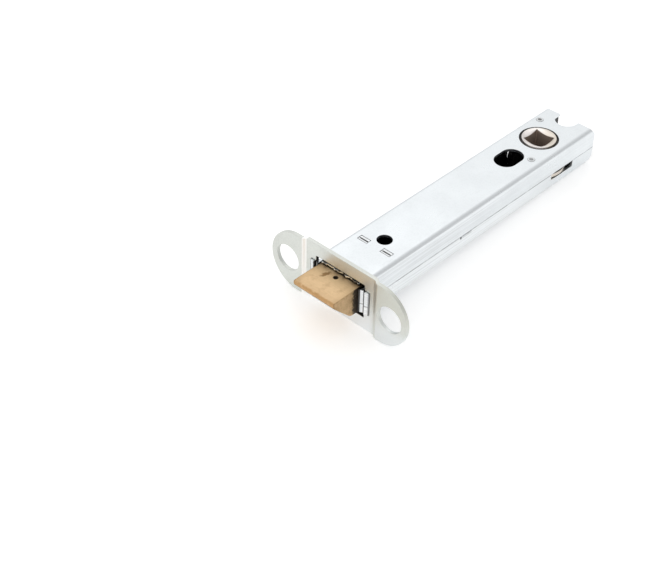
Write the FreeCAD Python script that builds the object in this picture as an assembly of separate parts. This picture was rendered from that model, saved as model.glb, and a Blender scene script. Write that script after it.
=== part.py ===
import FreeCAD, Part
import math
import os
from FreeCAD import Vector

# Tubular door latch, lying on its broad side. Millimetres.
# Origin: centre of the forend's front face, in the plane of its two raised ends.
# +X runs along the forend, +Y back along the case, +Z along the spindle.
# The latch bolt points towards -Y.

# Case: two folded shells that meet on a seam below the middle
CASE_WIDTH = 21.5
CASE_HEIGHT = 15.0
CASE_SHEET = 1.1
CASE_BEND = 1.8
BACKSET = 108.0
TAIL_LENGTH = 19.0
CHEEK_OVERRUN = 1.6
CHEEK_CORNER_Y = 2.1
CHEEK_CORNER_Z = 2.9
SEAM_Z = -1.05
SEAM_GAP = 0.1
FRONT_RELIEF = 1.6
FOLLOWER_HOLE = 14.8
THROUGH_SPACING = 38.0
THROUGH_WIDTH = 8.7
THROUGH_SLIDE = 3.8
FRONT_SLOT_SHIFT = 1.2
TAIL_NOTCH_DEPTH = 6.4
PEG_HOLE_Y = 23.0
PEG_HOLE = 5.6
STAKE_Y = 18.35
STAKE_X = 5.1
STAKE_LENGTH = 4.0
STAKE_THICKNESS = 2.0
STAKE_GAP = 0.2

# Inside of the case, and the middle of its bend
HALF_W = CASE_WIDTH / 2
HALF_H = CASE_HEIGHT / 2
INNER_X = HALF_W - CASE_SHEET
INNER_Z = HALF_H - CASE_SHEET
INNER_BEND = CASE_BEND - CASE_SHEET
CASE_BACK = BACKSET + TAIL_LENGTH
CHEEK_BACK_Y = CASE_BACK + CHEEK_OVERRUN
TAIL_CENTRE_Y = CASE_BACK - TAIL_NOTCH_DEPTH + THROUGH_WIDTH / 2
FRONT_SLOT_Y = BACKSET - THROUGH_SPACING / 2 + FRONT_SLOT_SHIFT

# Forend: one pressed strip, its middle set back from its two round ends
FOREND_LENGTH = 61.0
FOREND_HEIGHT = 23.5
FOREND_SHEET = 1.5
FOREND_SET_BACK = 1.2
SCREW_HOLE = 10.0
SCREW_TO_END = 7.5
SCREW_SPACING = FOREND_LENGTH - 2 * SCREW_TO_END
MOUTH_SIDE_GAP = 0.15
MOUTH_WIDTH = CASE_WIDTH + 2 * MOUTH_SIDE_GAP
MOUTH_RISE = 0.45
MOUTH_HEIGHT = 2 * (INNER_Z + MOUTH_RISE)
MOUTH_CORNER = 0.6
NOTCH_REACH = 2.3
NOTCH_RISE = 2.05
NOTCH_WIDTH = MOUTH_WIDTH + 2 * NOTCH_REACH
NOTCH_HEIGHT = MOUTH_HEIGHT - 2 * NOTCH_RISE
STEP_FROM_NOTCH = 2.2
STEP_RUN = 1.3
STEP_START_X = NOTCH_WIDTH / 2 + STEP_FROM_NOTCH
STEP_END_X = STEP_START_X + STEP_RUN
PLATE_FRONT_Y = FOREND_SET_BACK
PLATE_BACK_Y = FOREND_SET_BACK + FOREND_SHEET

# Front tabs of the case, split and spread in the forend's notches
TAB_GAP = 0.1
TAB_LEAN = 0.5
TAB_INNER_X = INNER_X - TAB_LEAN
TAB_SHOULDER = 0.5
TAB_SPLIT_FROM_MOUTH = 0.1
TAB_SPLIT_X = MOUTH_WIDTH / 2 + TAB_SPLIT_FROM_MOUTH
TAB_SPLIT_WIDTH = 0.6
TAB_INNER_PROUD = 1.0
TAB_OUTER_PROUD = 0.85
TAB_FOLD_PROUD = 0.1
TAB_END_PROUD = 0.3
TAB_SPLIT_DEPTH = 0.9

# Guides above and below the bolt
GUIDE_SHEET = 1.0
GUIDE_PROUD = 0.2
GUIDE_FRONT_Y = PLATE_FRONT_Y - GUIDE_PROUD
GUIDE_LIP_LENGTH = 2.4
GUIDE_LIP_SHEET = 0.6
GUIDE_LIP_RISE = 0.2
GUIDE_LIP_INSET = 1.15
GUIDE_BACK_Y = 20.5
GUIDE_SIDE_GAP = 0.3

# Latch bolt, its flat side up and its bevel down
BOLT_GAP = 0.3
BOLT_SIDE_GAP = 0.75
BOLT_WIDTH = 2 * (INNER_X - BOLT_SIDE_GAP)
BOLT_HEIGHT = 2 * (INNER_Z - GUIDE_SHEET - BOLT_GAP)
BOLT_THROW = 11.5
BOLT_REAR_Y = 13.0
BOLT_NOSE = 1.7
BOLT_BEVEL_DEG = 45.0
BOLT_NOSE_ROUND = 0.7
BOLT_HEEL_ROUND = 1.2
BOLT_TOP = BOLT_HEIGHT / 2
PIN_Y = -0.9
PIN_DIAMETER = 1.6
PIN_SINK = 0.8
PIN_CHAMFER = 0.24

# Retractor: a folded stirrup round the bolt rod and the follower
RETRACTOR_TRAVEL = 9.6
YOKE_Y = 34.0
RETRACTOR_SHEET = 1.1
RETRACTOR_BEND = 0.4
RAIL_SIDE_GAP = 0.3
RAIL_OUTER_X = INNER_X - RAIL_SIDE_GAP
RAIL_INNER_X = RAIL_OUTER_X - RETRACTOR_SHEET
YOKE_BACK_Y = YOKE_Y + RETRACTOR_SHEET
YOKE_FLOOR_GAP = 0.4
YOKE_BOTTOM_Z = YOKE_FLOOR_GAP - INNER_Z
YOKE_HOLE_GAP = 0.3

# Rod, clip and spring behind the bolt
ROD_DIAMETER = 4.0
ROD_RADIUS = ROD_DIAMETER / 2
ROD_PAST_PIN = 1.7
ROD_FRONT_Y = PIN_Y - ROD_PAST_PIN
ROD_TAIL = 1.6
ROD_CHAMFER = 0.6
CLIP_OUTER = 6.6
CLIP_THICKNESS = 0.9
CLIP_GROOVE = 0.45
CLIP_OPENING = 2.4
CLIP_FRONT_Y = YOKE_BACK_Y + BOLT_GAP
CLIP_BACK_Y = CLIP_FRONT_Y + CLIP_THICKNESS
ROD_BACK_Y = CLIP_BACK_Y + ROD_TAIL
WASHER_OUTER = 8.6
WASHER_THICKNESS = 0.6
BOLT_SPRING_OUTER = 7.2
BOLT_SPRING_WIRE = 0.9
BOLT_SPRING_TURNS = 7

# Spring bridge with its two guide pins and return springs
BRIDGE_FRONT_Y = 52.0
BRIDGE_LENGTH = 5.0
BRIDGE_BACK_Y = BRIDGE_FRONT_Y + BRIDGE_LENGTH
BRIDGE_SHEET = 0.8
BRIDGE_WALL = 1.2
BRIDGE_SLOT_GAP = 0.3
BRIDGE_FLOOR_GAP = 0.1
BRIDGE_SLOT = BOLT_SPRING_OUTER + 2 * BRIDGE_SLOT_GAP
BRIDGE_SLOT_FLOOR_Z = -BOLT_SPRING_OUTER / 2 - BRIDGE_FLOOR_GAP
BRIDGE_WEB_SINK = 0.25
BRIDGE_WEB_TOP_Z = SEAM_Z - BRIDGE_WEB_SINK
BRIDGE_WEB_BOTTOM_Z = BRIDGE_WEB_TOP_Z - BRIDGE_SHEET
BRIDGE_SEAT_Y = BRIDGE_BACK_Y - BRIDGE_WALL
SPRING_FLOOR_GAP = 0.25
SPRING_WEB_GAP = 0.15
RETURN_SPRING_FROM_WALL = 3.15
RETURN_SPRING_X = INNER_X - RETURN_SPRING_FROM_WALL
RETURN_SPRING_OUTER = INNER_Z + BRIDGE_WEB_BOTTOM_Z - SPRING_FLOOR_GAP - SPRING_WEB_GAP
RETURN_SPRING_Z = RETURN_SPRING_OUTER / 2 + SPRING_FLOOR_GAP - INNER_Z
RETURN_SPRING_WIRE = 0.6
RETURN_SPRING_TURNS = 9
SPRING_PIN_GAP = 0.35
SPRING_PIN = RETURN_SPRING_OUTER - 2 * RETURN_SPRING_WIRE - 2 * SPRING_PIN_GAP
SPRING_PIN_RESERVE = 2.1
SPRING_PIN_FRONT_Y = YOKE_BACK_Y + RETRACTOR_TRAVEL + SPRING_PIN_RESERVE
SPRING_PIN_CHAMFER = SPRING_PIN / 4

# Follower, turned by the spindle
SPINDLE_SQUARE = 8.1
JOURNAL_GAP = 0.15
JOURNAL_RISE = 0.45
JOURNAL_TOP_Z = INNER_Z + JOURNAL_RISE
BOSS_RADIUS = 6.45
BOSS_PROUD = 0.3
DISH_RIM = 0.5
DISH_RADIUS = BOSS_RADIUS - DISH_RIM
DISH_FLOOR_RADIUS = 4.0
DISH_DEPTH = 0.85
CORE_RADIUS = 6.4
COLLAR_RADIUS = 8.2
COLLAR_THICKNESS = 0.6
COLLAR_GAP = 0.3
COLLAR_TOP_Z = INNER_Z - COLLAR_GAP
COLLAR_BOTTOM_Z = COLLAR_TOP_Z - COLLAR_THICKNESS
HUB_RADIUS = 8.5
FLANGE_INSET = 0.05
FLANGE_RADIUS = HALF_W - FLANGE_INSET
FLANGE_THICKNESS = 1.8
FLANGE_TOP_Z = -1.4
FLANGE_BOTTOM_Z = FLANGE_TOP_Z - FLANGE_THICKNESS
BLADE_WALL_GAP = 0.25
BLADE_RADIUS = INNER_X - BLADE_WALL_GAP
BLADE_HEIGHT = 3.5
BLADE_TOP_Z = FLANGE_TOP_Z + BLADE_HEIGHT
BLADE_REST_DEG = 34.5
BLADE_SPAN_DEG = 27.0

# Window in the lower shell's side walls that the flange turns in
WINDOW_AHEAD = FLANGE_RADIUS - 5.7
WINDOW_BEHIND = 7.9
WINDOW_BELOW = 0.35
WINDOW_START_Y = BACKSET - WINDOW_AHEAD
WINDOW_END_Y = BACKSET + WINDOW_BEHIND
WINDOW_BOTTOM_Z = FLANGE_BOTTOM_Z - WINDOW_BELOW

# Rails and lugs of the retractor, clear of the follower
RAIL_COLLAR_GAP = 0.3
RAIL_FLANGE_GAP = 0.5
RAIL_BLADE_GAP = 0.4
RAIL_STEP_RESERVE = 1.6
RAIL_TOP_Z = COLLAR_BOTTOM_Z - RAIL_COLLAR_GAP
RAIL_BOTTOM_Z = FLANGE_TOP_Z + RAIL_FLANGE_GAP
RAIL_SLIM_Z = BLADE_TOP_Z + RAIL_BLADE_GAP
RAIL_SLIM_Y = BACKSET - BLADE_RADIUS - RETRACTOR_TRAVEL - RAIL_STEP_RESERVE
RAIL_STEP_Y = RAIL_SLIM_Y - (RAIL_SLIM_Z - RAIL_BOTTOM_Z)
LUG_CORE_GAP = 0.5
LUG_INNER_X = CORE_RADIUS + LUG_CORE_GAP
LUG_PLAY = 0.35
LUG_FRONT_Y = BACKSET - LUG_INNER_X * math.tan(math.radians(BLADE_REST_DEG)) + LUG_PLAY
LUG_BACK_Y = LUG_FRONT_Y + RETRACTOR_SHEET

# Pillars that hold the two shells together
PILLAR_DIAMETER = 2.8
PILLAR_NECK = 2.0
PILLAR_HEAD = 3.0
PILLAR_HEAD_PROUD = 0.2
PILLAR_RAIL_GAP = 0.55
PILLAR_WALL_GAP = 0.95
PILLAR_FLANGE_GAP = 0.36
FRONT_PILLAR_AHEAD = 12.8
FRONT_PILLAR_X = RAIL_INNER_X - PILLAR_RAIL_GAP - PILLAR_DIAMETER / 2
FRONT_PILLAR = (FRONT_PILLAR_X, BACKSET - FRONT_PILLAR_AHEAD)
REAR_PILLAR_X = PILLAR_WALL_GAP + PILLAR_DIAMETER / 2 - INNER_X
REAR_PILLAR_REACH = FLANGE_RADIUS + PILLAR_FLANGE_GAP + PILLAR_DIAMETER / 2
REAR_PILLAR = (REAR_PILLAR_X, BACKSET + math.sqrt(REAR_PILLAR_REACH ** 2 - REAR_PILLAR_X ** 2))

# Moulded spacer round the tail notch, which keeps the handle bolt from crushing the tail
SPACER_SIDE_GAP = 0.3
SPACER_FACE_GAP = 0.2
SPACER_WALL = 0.7
SPACER_INSET = 0.8
SPACER_RUNNING_GAP = 0.25
SPACER_CHAMFER = 0.5
SPACER_HALF_W = INNER_X - SPACER_SIDE_GAP
SPACER_HALF_H = INNER_Z - SPACER_FACE_GAP
SPACER_FRONT_Y = TAIL_CENTRE_Y - THROUGH_WIDTH / 2 - SPACER_WALL
SPACER_BACK_Y = CASE_BACK - SPACER_INSET

# Coil springs are drawn as many-sided wire
COIL_STEPS = 8
WIRE_SIDES = 4

# How far a cutting shape runs past what it cuts
OVER = 1.0


def block(x0, x1, y0, y1, z0, z1):
    return Part.makeBox(x1 - x0, y1 - y0, z1 - z0, Vector(x0, y0, z0))


def post(radius, z0, z1, x=0.0, y=0.0):
    return Part.makeCylinder(radius, z1 - z0, Vector(x, y, z0))


def bar(radius, y0, y1, x=0.0, z=0.0):
    return Part.makeCylinder(radius, y1 - y0, Vector(x, y0, z), Vector(0, 1, 0))


def prism(points, run):
    """Close the outline through the points and push it along run."""
    outline = Part.makePolygon(points + [points[0]])
    return Part.Face(outline).extrude(run)


def mirrored(shape):
    return shape.mirror(Vector(0, 0, 0), Vector(1, 0, 0))


def both_sides(shape):
    return [shape, mirrored(shape)]


def picked_edges(shape, wanted):
    """The edges whose middle point passes the test."""
    picked = []
    for edge in shape.Edges:
        middle = edge.valueAt((edge.FirstParameter + edge.LastParameter) / 2)
        if wanted(edge, middle):
            picked.append(edge)
    return picked


def rounded(shape, radius, wanted):
    return shape.makeFillet(radius, picked_edges(shape, wanted))


def bevelled(shape, size, wanted):
    return shape.makeChamfer(size, picked_edges(shape, wanted))


def runs_along(edge, axis):
    ends = [vertex.Point for vertex in edge.Vertexes]
    if len(ends) < 2:
        return False
    step = ends[1] - ends[0]
    return abs(step.getAngle(axis)) < 1e-6 or abs(step.getAngle(axis) - math.pi) < 1e-6


def upright_edge(edge, middle):
    return runs_along(edge, Vector(0, 0, 1))


def obround(width, slide, centre_y, z0, z1):
    """A slot along Y with round ends, slide long between its arc centres."""
    radius = width / 2
    front = post(radius, z0, z1, 0, centre_y - slide / 2)
    back = post(radius, z0, z1, 0, centre_y + slide / 2)
    middle = block(-radius, radius, centre_y - slide / 2, centre_y + slide / 2, z0, z1)
    return front.fuse([back, middle]).removeSplitter()


def coil(y0, y1, outer, wire, turns, x=0.0, z=0.0):
    """A coil spring along Y, bent from short straight runs."""
    radius = (outer - wire) / 2
    steps = turns * COIL_STEPS
    rise = (y1 - y0 - wire) / steps
    path = []
    for i in range(steps + 1):
        turn = math.tau * i / COIL_STEPS
        spot = Vector(x + radius * math.cos(turn), y0 + wire / 2 + rise * i, z + radius * math.sin(turn))
        path.append(spot)
    along = path[1] - path[0]
    across = along.cross(Vector(1, 0, 0)).normalize()
    outward = across.cross(along).normalize()
    section = []
    for i in range(WIRE_SIDES):
        turn = math.tau * i / WIRE_SIDES
        section.append(path[0] + (outward * math.cos(turn) + across * math.sin(turn)) * (wire / 2))
    outline = Part.makePolygon(section + [section[0]])
    spine = Part.makePolygon(path)
    return spine.makePipeShell([outline], True, False, 1)


def forend():
    half = FOREND_LENGTH / 2
    front = [
        Vector(-half, 0, 0),
        Vector(-STEP_END_X, 0, 0),
        Vector(-STEP_START_X, FOREND_SET_BACK, 0),
        Vector(STEP_START_X, FOREND_SET_BACK, 0),
        Vector(STEP_END_X, 0, 0),
        Vector(half, 0, 0),
    ]
    back = [point + Vector(0, FOREND_SHEET, 0) for point in reversed(front)]
    down = Vector(0, 0, -FOREND_HEIGHT / 2)
    strip = prism([point + down for point in front + back], Vector(0, 0, FOREND_HEIGHT))
    end_radius = FOREND_HEIGHT / 2
    depth = FOREND_SET_BACK + FOREND_SHEET + 2 * OVER
    ends = [bar(end_radius, -OVER, depth - OVER, side * (half - end_radius)) for side in (-1, 1)]
    middle = block(end_radius - half, half - end_radius, -OVER, depth - OVER, -end_radius, end_radius)
    plate = strip.common(middle.fuse(ends).removeSplitter())
    mouth = block(-MOUTH_WIDTH / 2, MOUTH_WIDTH / 2, -OVER, depth, -MOUTH_HEIGHT / 2, MOUTH_HEIGHT / 2)
    mouth = rounded(mouth, MOUTH_CORNER, lambda edge, middle: runs_along(edge, Vector(0, 1, 0)))
    notch = block(-NOTCH_WIDTH / 2, NOTCH_WIDTH / 2, -OVER, depth, -NOTCH_HEIGHT / 2, NOTCH_HEIGHT / 2)
    holes = [bar(SCREW_HOLE / 2, -OVER, depth - OVER, side * SCREW_SPACING / 2) for side in (-1, 1)]
    return plate.cut([mouth.fuse(notch)] + holes)


def front_tab(z0, z1):
    """The split end of a side wall, spread by a chisel in the forend's notch."""
    notch_x = NOTCH_WIDTH / 2
    outline = [
        Vector(INNER_X, PLATE_BACK_Y + OVER, z0),
        Vector(INNER_X, PLATE_BACK_Y - TAB_SHOULDER, z0),
        Vector(TAB_INNER_X, PLATE_FRONT_Y - TAB_INNER_PROUD, z0),
        Vector(TAB_SPLIT_X, PLATE_FRONT_Y - TAB_FOLD_PROUD, z0),
        Vector(TAB_SPLIT_X + TAB_SPLIT_WIDTH / 2, PLATE_FRONT_Y + TAB_SPLIT_DEPTH, z0),
        Vector(TAB_SPLIT_X + TAB_SPLIT_WIDTH, PLATE_FRONT_Y - TAB_OUTER_PROUD, z0),
        Vector(notch_x, PLATE_FRONT_Y - TAB_END_PROUD, z0),
        Vector(notch_x, PLATE_FRONT_Y + TAB_SHOULDER, z0),
        Vector(HALF_W, PLATE_BACK_Y, z0),
        Vector(HALF_W, PLATE_BACK_Y + OVER, z0),
    ]
    return prism(outline, Vector(0, 0, z1 - z0))


def case_openings():
    """Every hole that is punched through the broad sides of the case."""
    low = -HALF_H - OVER
    high = HALF_H + OVER
    cuts = [
        post(FOLLOWER_HOLE / 2, low, high, 0, BACKSET),
        obround(THROUGH_WIDTH, THROUGH_SLIDE, FRONT_SLOT_Y, low, high),
        post(THROUGH_WIDTH / 2, low, high, 0, TAIL_CENTRE_Y),
        block(-THROUGH_WIDTH / 2, THROUGH_WIDTH / 2, TAIL_CENTRE_Y, CHEEK_BACK_Y + OVER, low, high),
        post(PEG_HOLE / 2, low, high, 0, PEG_HOLE_Y),
    ]
    for x in (-STAKE_X, STAKE_X):
        half_x = STAKE_LENGTH / 2 + STAKE_GAP
        half_y = STAKE_THICKNESS / 2 + STAKE_GAP
        cuts.append(block(x - half_x, x + half_x, STAKE_Y - half_y, STAKE_Y + half_y, low, high))
    for x, y in (FRONT_PILLAR, REAR_PILLAR):
        cuts.append(post(PILLAR_NECK / 2, low, high, x, y))
    return cuts


def shell(side):
    """One folded half of the case: side is 1 for the upper and -1 for the lower."""
    outer_z = side * HALF_H
    inner_z = side * INNER_Z
    seam_z = SEAM_Z + side * SEAM_GAP / 2
    low, high = sorted((seam_z, outer_z))
    body = block(-HALF_W, HALF_W, PLATE_BACK_Y, CHEEK_BACK_Y, low, high)
    body = rounded(body, CASE_BEND, lambda edge, middle: runs_along(edge, Vector(0, 1, 0))
                   and abs(middle.z - outer_z) < 1e-6)
    low, high = sorted((SEAM_Z - side * OVER, inner_z))
    inside = block(-INNER_X, INNER_X, PLATE_BACK_Y - OVER, CHEEK_BACK_Y + OVER, low, high)
    inside = rounded(inside, INNER_BEND, lambda edge, middle: runs_along(edge, Vector(0, 1, 0))
                     and abs(middle.z - inner_z) < 1e-6)
    body = body.cut(inside)
    cuts = case_openings()
    low, high = sorted((side * (HALF_H - CASE_BEND), side * (HALF_H + OVER)))
    cuts.append(block(-INNER_X, INNER_X, CASE_BACK, CHEEK_BACK_Y + OVER, low, high))
    corner = [
        Vector(-HALF_W - OVER, CHEEK_BACK_Y - CHEEK_CORNER_Y, outer_z),
        Vector(-HALF_W - OVER, CHEEK_BACK_Y, outer_z - side * CHEEK_CORNER_Z),
        Vector(-HALF_W - OVER, CHEEK_BACK_Y + OVER, outer_z - side * CHEEK_CORNER_Z),
        Vector(-HALF_W - OVER, CHEEK_BACK_Y + OVER, outer_z + side * OVER),
        Vector(-HALF_W - OVER, CHEEK_BACK_Y - CHEEK_CORNER_Y, outer_z + side * OVER),
    ]
    cuts.append(prism(corner, Vector(CASE_WIDTH + 2 * OVER, 0, 0)))
    tab_z = NOTCH_HEIGHT / 2 - TAB_GAP
    relief_back_y = PLATE_BACK_Y + FRONT_RELIEF
    low, high = sorted((side * tab_z, side * (INNER_Z - INNER_BEND)))
    for x0, x1 in ((-HALF_W - OVER, -INNER_X), (INNER_X, HALF_W + OVER)):
        cuts.append(block(x0, x1, PLATE_BACK_Y - OVER, relief_back_y, low, high))
    if side < 0:
        cuts.append(block(-HALF_W - OVER, HALF_W + OVER, WINDOW_START_Y, WINDOW_END_Y,
                          WINDOW_BOTTOM_Z, SEAM_Z + OVER))
        for x0, x1 in ((-HALF_W - OVER, -INNER_X + OVER), (INNER_X - OVER, HALF_W + OVER)):
            cuts.append(block(x0, x1, BRIDGE_FRONT_Y, BRIDGE_BACK_Y, BRIDGE_WEB_BOTTOM_Z, SEAM_Z + OVER))
    body = body.cut(cuts)
    low, high = sorted((seam_z, side * tab_z))
    return body.fuse(both_sides(front_tab(low, high))).removeSplitter()


def bolt_guide(side):
    """A flat guide whose two stakes come out through the case."""
    outer = side * INNER_Z
    inner = side * (INNER_Z - GUIDE_SHEET)
    lip = side * (INNER_Z - GUIDE_SHEET + GUIDE_LIP_RISE)
    half = INNER_X - GUIDE_SIDE_GAP
    lip_back_y = GUIDE_FRONT_Y + GUIDE_LIP_LENGTH
    low, high = sorted((inner, outer))
    plate = block(-half, half, lip_back_y, GUIDE_BACK_Y, low, high)
    plate = rounded(plate, INNER_BEND, lambda edge, middle: runs_along(edge, Vector(0, 1, 0))
                    and abs(middle.z - outer) < 1e-6)
    low, high = sorted((lip, lip + side * GUIDE_LIP_SHEET))
    lip_half = half - GUIDE_LIP_INSET
    front = block(-lip_half, lip_half, GUIDE_FRONT_Y, lip_back_y, low, high)
    low, high = sorted((inner, side * (HALF_H + TAB_GAP)))
    stakes = []
    for x in (-STAKE_X, STAKE_X):
        stake = block(x - STAKE_LENGTH / 2, x + STAKE_LENGTH / 2, STAKE_Y - STAKE_THICKNESS / 2,
                      STAKE_Y + STAKE_THICKNESS / 2, low, high)
        stakes.append(stake)
    return plate.fuse([front] + stakes).removeSplitter()


def latch_bolt():
    nose_y = -BOLT_THROW
    slope = math.tan(math.radians(BOLT_BEVEL_DEG))
    nose_low = BOLT_TOP - BOLT_NOSE
    heel_y = nose_y + (nose_low + BOLT_TOP) / slope
    outline = [
        Vector(-BOLT_WIDTH / 2, nose_y, BOLT_TOP),
        Vector(-BOLT_WIDTH / 2, nose_y, nose_low),
        Vector(-BOLT_WIDTH / 2, heel_y, -BOLT_TOP),
        Vector(-BOLT_WIDTH / 2, BOLT_REAR_Y, -BOLT_TOP),
        Vector(-BOLT_WIDTH / 2, BOLT_REAR_Y, BOLT_TOP),
    ]
    head = prism(outline, Vector(BOLT_WIDTH, 0, 0))
    head = rounded(head, BOLT_NOSE_ROUND, lambda edge, middle: runs_along(edge, Vector(1, 0, 0))
                   and abs(middle.y - nose_y) < 1e-6)
    head = rounded(head, BOLT_HEEL_ROUND, lambda edge, middle: runs_along(edge, Vector(1, 0, 0))
                   and abs(middle.y - heel_y) < 1e-6)
    bore = bar(ROD_RADIUS, ROD_FRONT_Y, BOLT_REAR_Y + OVER)
    pin_hole = post(PIN_DIAMETER / 2, -BOLT_TOP - OVER, BOLT_TOP + OVER, 0, PIN_Y)
    return head.cut([bore, pin_hole])


def bolt_rod():
    rod = bar(ROD_RADIUS, ROD_FRONT_Y, ROD_BACK_Y)
    rod = bevelled(rod, ROD_CHAMFER, lambda edge, middle: abs(middle.y - ROD_BACK_Y) < 1e-6)
    groove = bar(ROD_RADIUS + OVER, CLIP_FRONT_Y, CLIP_BACK_Y).cut(
        bar(ROD_RADIUS - CLIP_GROOVE, CLIP_FRONT_Y, CLIP_BACK_Y))
    pin_hole = post(PIN_DIAMETER / 2, -ROD_DIAMETER, ROD_DIAMETER, 0, PIN_Y)
    return rod.cut([groove, pin_hole])


def bolt_pin():
    reach = BOLT_TOP - PIN_SINK
    pin = post(PIN_DIAMETER / 2, -reach, reach, 0, PIN_Y)
    return bevelled(pin, PIN_CHAMFER, lambda edge, middle: abs(abs(middle.z) - reach) < 1e-6)


def rod_clip():
    """A spring clip snapped into the rod's groove from the side."""
    inner = ROD_RADIUS - CLIP_GROOVE
    ring = bar(CLIP_OUTER / 2, CLIP_FRONT_Y, CLIP_BACK_Y).cut(
        bar(inner, CLIP_FRONT_Y - OVER, CLIP_BACK_Y + OVER))
    half = CLIP_OPENING / 2
    mouth = block(-half, half, CLIP_FRONT_Y - OVER, CLIP_BACK_Y + OVER, 0, CLIP_OUTER)
    return ring.cut(mouth)


def spring_washer():
    front_y = YOKE_Y - WASHER_THICKNESS
    ring = bar(WASHER_OUTER / 2, front_y, YOKE_Y)
    return ring.cut(bar(ROD_RADIUS + YOKE_HOLE_GAP, front_y - OVER, YOKE_Y + OVER))


def bolt_spring():
    front_y = YOKE_Y - WASHER_THICKNESS
    return coil(BOLT_REAR_Y, front_y, BOLT_SPRING_OUTER, BOLT_SPRING_WIRE, BOLT_SPRING_TURNS)


def retractor():
    """A strip folded into a stirrup: yoke in front, two rails, two lugs behind."""
    low = YOKE_BOTTOM_Z - OVER
    high = RAIL_TOP_Z + OVER
    outer = block(-RAIL_OUTER_X, RAIL_OUTER_X, YOKE_Y, LUG_BACK_Y, YOKE_BOTTOM_Z, RAIL_TOP_Z)
    outer = rounded(outer, RETRACTOR_SHEET + RETRACTOR_BEND, upright_edge)
    inner = block(-RAIL_INNER_X, RAIL_INNER_X, YOKE_BACK_Y, LUG_FRONT_Y, low, high)
    inner = rounded(inner, RETRACTOR_BEND, upright_edge)
    below = prism([
        Vector(-CASE_WIDTH, YOKE_BACK_Y, low),
        Vector(-CASE_WIDTH, YOKE_BACK_Y, RAIL_BOTTOM_Z),
        Vector(-CASE_WIDTH, RAIL_STEP_Y, RAIL_BOTTOM_Z),
        Vector(-CASE_WIDTH, RAIL_SLIM_Y, RAIL_SLIM_Z),
        Vector(-CASE_WIDTH, LUG_FRONT_Y, RAIL_SLIM_Z),
        Vector(-CASE_WIDTH, LUG_FRONT_Y, RAIL_BOTTOM_Z),
        Vector(-CASE_WIDTH, LUG_BACK_Y + OVER, RAIL_BOTTOM_Z),
        Vector(-CASE_WIDTH, LUG_BACK_Y + OVER, low),
    ], Vector(2 * CASE_WIDTH, 0, 0))
    between = block(-LUG_INNER_X, LUG_INNER_X, LUG_FRONT_Y - OVER, LUG_BACK_Y + OVER, low, high)
    rod_hole = bar(ROD_RADIUS + YOKE_HOLE_GAP, YOKE_Y - OVER, YOKE_BACK_Y + OVER)
    return outer.cut([inner, below, between, rod_hole]).removeSplitter()


def spring_bridge():
    """A small folded seat for the return springs, its ears held in the seam."""
    web = block(-INNER_X, INNER_X, BRIDGE_FRONT_Y, BRIDGE_BACK_Y, BRIDGE_WEB_BOTTOM_Z, BRIDGE_WEB_TOP_Z)
    ears = block(-HALF_W, HALF_W, BRIDGE_FRONT_Y, BRIDGE_BACK_Y, BRIDGE_WEB_BOTTOM_Z, BRIDGE_WEB_TOP_Z)
    seat = block(-INNER_X, INNER_X, BRIDGE_SEAT_Y, BRIDGE_BACK_Y, -INNER_Z, BRIDGE_WEB_TOP_Z)
    seat = rounded(seat, INNER_BEND, lambda edge, middle: runs_along(edge, Vector(0, 1, 0))
                   and middle.z < 1e-6 - INNER_Z)
    slot = block(-BRIDGE_SLOT / 2, BRIDGE_SLOT / 2, BRIDGE_FRONT_Y - OVER, BRIDGE_BACK_Y + OVER,
                 BRIDGE_SLOT_FLOOR_Z, BRIDGE_WEB_TOP_Z + OVER)
    holes = [bar(SPRING_PIN / 2, BRIDGE_SEAT_Y - OVER, BRIDGE_BACK_Y + OVER, x, RETURN_SPRING_Z)
             for x in (-RETURN_SPRING_X, RETURN_SPRING_X)]
    return web.fuse([ears, seat]).removeSplitter().cut([slot] + holes)


def spring_pin(x):
    pin = bar(SPRING_PIN / 2, SPRING_PIN_FRONT_Y, BRIDGE_BACK_Y, x, RETURN_SPRING_Z)
    return bevelled(pin, SPRING_PIN_CHAMFER, lambda edge, middle: abs(middle.y - SPRING_PIN_FRONT_Y) < 1e-6)


def return_spring(x):
    return coil(YOKE_BACK_Y, BRIDGE_SEAT_Y, RETURN_SPRING_OUTER, RETURN_SPRING_WIRE, RETURN_SPRING_TURNS,
                x, RETURN_SPRING_Z)


def follower_blade(start_deg):
    """A wedge on the flange: it spans the angles from start to start plus span."""
    reach = BLADE_RADIUS * 2
    first = math.radians(start_deg)
    last = math.radians(start_deg + BLADE_SPAN_DEG)
    wedge = prism([
        Vector(0, BACKSET, FLANGE_TOP_Z),
        Vector(reach * math.cos(first), BACKSET + reach * math.sin(first), FLANGE_TOP_Z),
        Vector(reach * math.cos(last), BACKSET + reach * math.sin(last), FLANGE_TOP_Z),
    ], Vector(0, 0, BLADE_TOP_Z - FLANGE_TOP_Z))
    return wedge.common(post(BLADE_RADIUS, FLANGE_TOP_Z - OVER, BLADE_TOP_Z + OVER, 0, BACKSET))


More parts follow.
